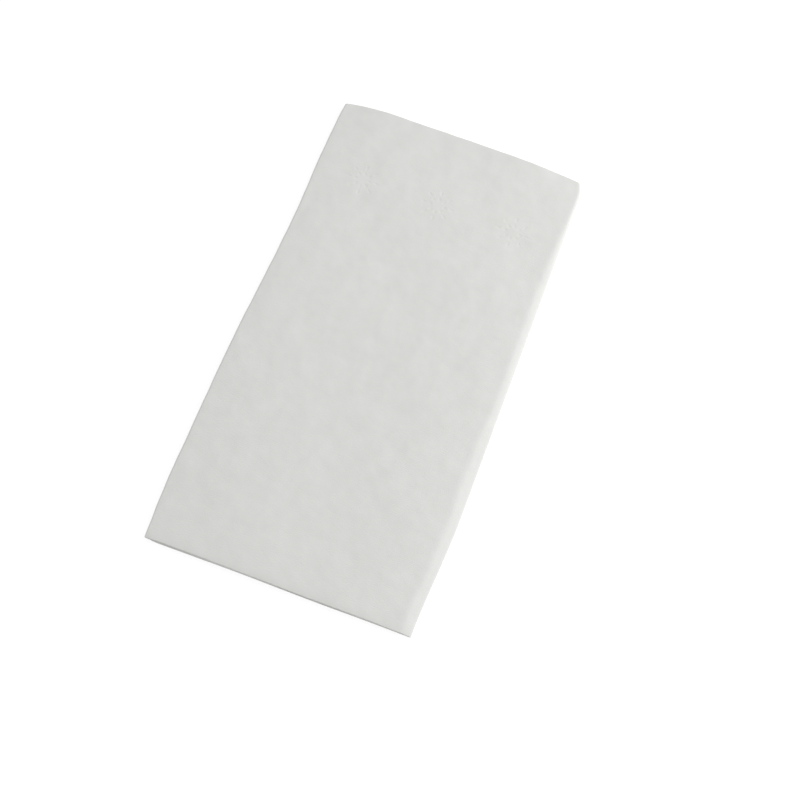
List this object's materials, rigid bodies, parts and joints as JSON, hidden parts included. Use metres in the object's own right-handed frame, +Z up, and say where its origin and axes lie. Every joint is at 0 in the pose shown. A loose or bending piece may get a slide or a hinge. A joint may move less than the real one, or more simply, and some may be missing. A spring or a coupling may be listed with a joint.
{
  "type": "paper napkin",
  "caption": "Square white tissue dinner napkin folded flat into a long narrow rectangle, with small embossed rosettes near one short edge.",
  "frame": {"origin": "middle of the underside, on the surface the napkin lies on", "axes": "+Y along the napkin towards its folded short edge, +X across it towards the last fold, +Z up"},
  "size_m": [0.1012, 0.2, 0.0027],
  "materials": {
    "tissue": "matte"
  },
  "bodies": {
    "root": {"napkin": "tissue"}
  },
  "joints": []
}
